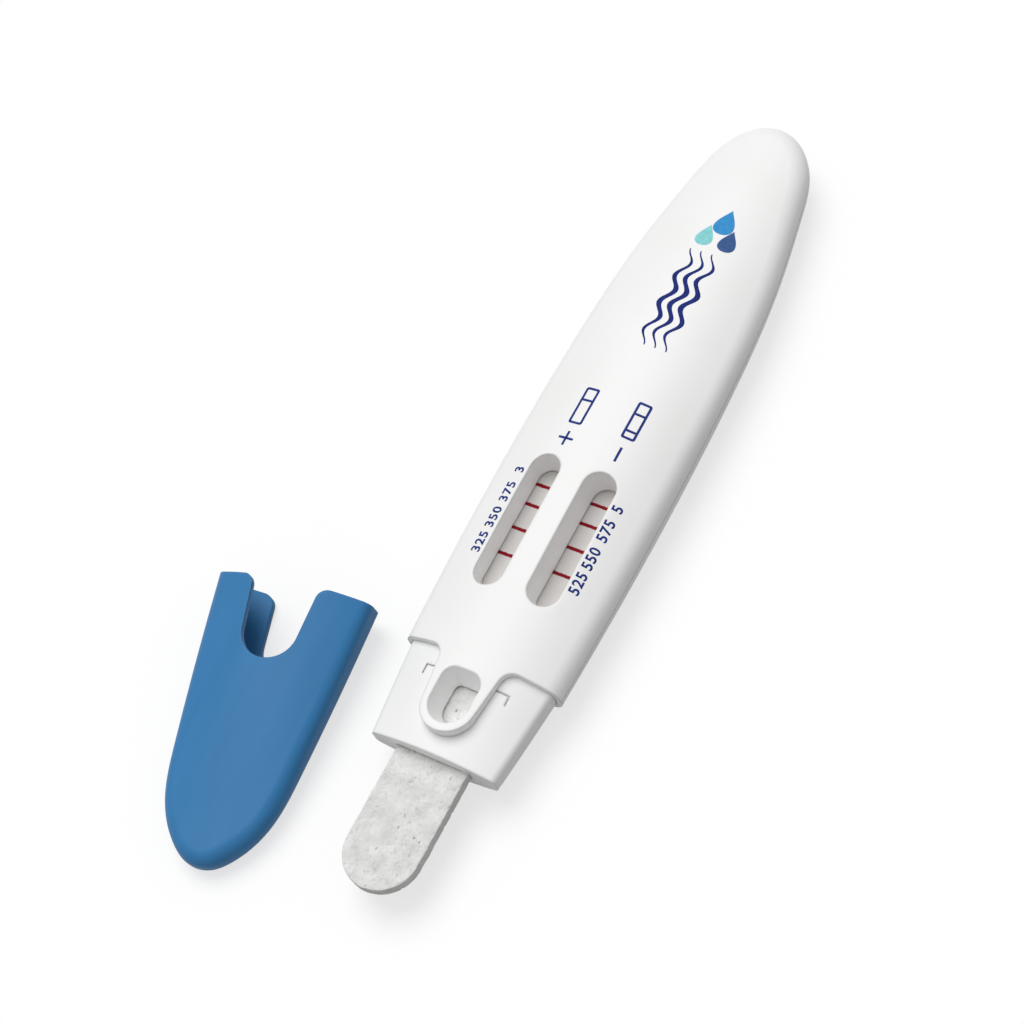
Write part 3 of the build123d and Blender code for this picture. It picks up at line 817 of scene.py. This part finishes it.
def ripple_tree():
    tree, given = geometry_tree("ripples", {"Length": "Float", "Swing": "Float", "Waves": "Float",
                                            "Stroke": "Float", "Pitch": "Float", "Count": "Int"})
    strip = add(tree, "GeometryNodeMeshGrid", {"Size X": 1.0, "Size Y": given["Length"],
                                               "Vertices X": RIPPLE_COLUMNS, "Vertices Y": RIPPLE_ROWS})
    here = add(tree, "ShaderNodeSeparateXYZ", {0: add(tree, "GeometryNodeInputPosition").outputs["Position"]})
    run = add(tree, "ShaderNodeMath", {0: here.outputs["Y"], 1: given["Length"]},
              operation="DIVIDE").outputs[0]
    turns = add(tree, "ShaderNodeMath", {0: given["Waves"], 1: math.tau}, operation="MULTIPLY").outputs[0]
    angle = add(tree, "ShaderNodeMath", {0: run, 1: turns}, operation="MULTIPLY").outputs[0]
    wave = add(tree, "ShaderNodeMath", {0: angle}, operation="SINE").outputs[0]
    swing = add(tree, "ShaderNodeMath", {0: wave, 1: given["Swing"]}, operation="MULTIPLY").outputs[0]
    half_turn = add(tree, "ShaderNodeMath", {0: run, 1: math.pi}, operation="MULTIPLY").outputs[0]
    body = add(tree, "ShaderNodeMath", {0: half_turn}, operation="COSINE").outputs[0]
    brush = add(tree, "ShaderNodeMath", {0: body, 1: 1 - RIPPLE_END, 2: RIPPLE_END}, operation="MULTIPLY_ADD")
    width = add(tree, "ShaderNodeMath", {0: brush.outputs[0], 1: given["Stroke"]}, operation="MULTIPLY")
    side = add(tree, "ShaderNodeMath", {0: here.outputs["X"], 1: width.outputs[0], 2: swing},
               operation="MULTIPLY_ADD")
    moved = add(tree, "ShaderNodeCombineXYZ", {"X": side.outputs[0], "Y": here.outputs["Y"]})
    shaped = add(tree, "GeometryNodeSetPosition", {"Geometry": strip.outputs["Mesh"],
                                                   "Position": moved.outputs[0]})
    step = add(tree, "ShaderNodeCombineXYZ", {"X": given["Pitch"]})
    row = add(tree, "GeometryNodeMeshLine", {"Count": given["Count"], "Offset": step.outputs[0]})
    spread = add(tree, "GeometryNodeInstanceOnPoints", {"Points": row.outputs["Mesh"],
                                                        "Instance": shaped.outputs["Geometry"]})
    close_tree(tree, spread.outputs["Instances"], None)
    return tree


first_mm = RIPPLES_AT_MM[0] - (RIPPLES["Count"] - 1) / 2 * RIPPLES["Pitch"] / MM
flat = flat_drawing("ripples_flat", ripple_tree(), RIPPLES, first_mm, RIPPLES_AT_MM[1])
printed("ripples", flat, deep_blue, 0)

# %% Drops
DROP_POINTS = 40
DROP_PINCH = 1.5
DROP_HUB = -0.12
# Each drop has its name, its ink, its place across and along the pod, and its length.
DROPS = (("drop_sky", sky, 1.5, 86.6, 5.2),
         ("drop_aqua", aqua, -0.6, 83.2, 4.4),
         ("drop_slate", slate, 3.6, 83.2, 4.4))


def flat_drop(x_mm, y_mm, length):
    """Drop as a fan about a hub: a circle's height, its width pinched towards the point."""
    points = [Vector((0, DROP_HUB, 0)) * length]
    for k in range(DROP_POINTS):
        angle = math.tau * k / DROP_POINTS
        across = 0.5 * math.sin(angle) * math.sin(angle / 2) ** DROP_PINCH
        points.append(Vector((across, 0.5 * math.cos(angle), 0)) * length)
    mesh = bpy.data.meshes.new("drop")
    mesh.from_pydata(points, [], [(0, 1 + (k + 1) % DROP_POINTS, 1 + k) for k in range(DROP_POINTS)])
    mesh.transform(Matrix.Translation(on_pod(x_mm, y_mm)))
    return mesh


for name, ink, x_mm, y_mm, length_mm in DROPS:
    printed(name, flat_drop(x_mm, y_mm, length_mm * MM), ink, 1)

# %% [markdown]
# ## Camera and studio
# The light is that of a product table: an even white surround, and one wide soft key from
# nearly overhead. The surround is weak as a lamp and full white for what the eye sees of it,
# directly or in a reflection, so the plain background costs the surfaces no detail.

# %% Camera
CAMERA_PLACE_MM = (164.87, -105.83, 351.30)
CAMERA_TURN_DEG = (29.350, 14.535, 28.669)
CAMERA_LENS_MM = 88.27
SENSOR_WIDTH_MM = 36.0
NEAREST_SEEN = 10 * MM

scene = bpy.context.scene
scene.view_settings.view_transform = "Standard"
camera = new_piece("camera", bpy.data.cameras.new("camera"))
camera.location = on_pod(*CAMERA_PLACE_MM)
camera.rotation_euler = Euler([math.radians(angle) for angle in CAMERA_TURN_DEG])
camera.data.sensor_width = SENSOR_WIDTH_MM
camera.data.lens = CAMERA_LENS_MM
camera.data.clip_start = NEAREST_SEEN
scene.camera = camera
print("camera at", [round(v, 3) for v in camera.location])

# %% Light
SURROUND = 0.41
KEY_ENERGY = 1.80
KEY_SPREAD_DEG = 45
KEY_FROM = Vector((-0.30, 0.28, 0.91))


def only_seen(tree):
    """1 for camera, glossy and transmission rays, 0 for the rays that light the object."""
    path = add(tree, "ShaderNodeLightPath").outputs
    seen = path["Is Camera Ray"]
    for kind in ("Is Glossy Ray", "Is Transmission Ray"):
        seen = add(tree, "ShaderNodeMath", {0: seen, 1: path[kind]}, operation="MAXIMUM").outputs[0]
    return seen


world = bpy.data.worlds.new("studio")
scene.world = world
world.use_nodes = True
sky_tree = world.node_tree
surround = next(n for n in sky_tree.nodes if n.type == "BACKGROUND")
level = add(sky_tree, "ShaderNodeMapRange", {"Value": only_seen(sky_tree), "To Min": SURROUND, "To Max": 1.0})
feed(sky_tree, surround, {"Color": (1, 1, 1, 1), "Strength": level.outputs["Result"]})

key = new_piece("key", bpy.data.lights.new("key", "SUN"))
key.data.energy = KEY_ENERGY
key.data.angle = math.radians(KEY_SPREAD_DEG)
key.rotation_euler = KEY_FROM.to_track_quat("Z", "Y").to_euler()
print("surround", SURROUND, "key", KEY_ENERGY)

# %% [markdown]
# ## The table
# The floor is pale paper, quite without gloss.

# %% Floor
FLOOR_GREY = 0.35
FLOOR_GLOW = 0.675
FLOOR_WIDTH = 6.0

floor = new_piece("floor", rectangle("floor", FLOOR_WIDTH, FLOOR_WIDTH))
paper, paper_tree, paper_shader, _ = new_material("pale_paper")
glow = add(paper_tree, "ShaderNodeMath", {0: only_seen(paper_tree), 1: FLOOR_GLOW}, operation="MULTIPLY")
feed(paper_tree, paper_shader, {"Base Color": (FLOOR_GREY, FLOOR_GREY, FLOOR_GREY, 1), "Roughness": 1.0,
                                "Specular IOR Level": 0.0, "Emission Color": (1, 1, 1, 1),
                                "Emission Strength": glow.outputs[0]})
floor.data.materials.append(paper)
floor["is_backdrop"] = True
print("floor", FLOOR_WIDTH, "m wide")

# %% [markdown]
# ## The kit's box
# The dressed kit has to keep the size of the frame. The box around every shown piece of the
# dressed kit, the floor left out, in the frame's metres.

low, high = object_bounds()
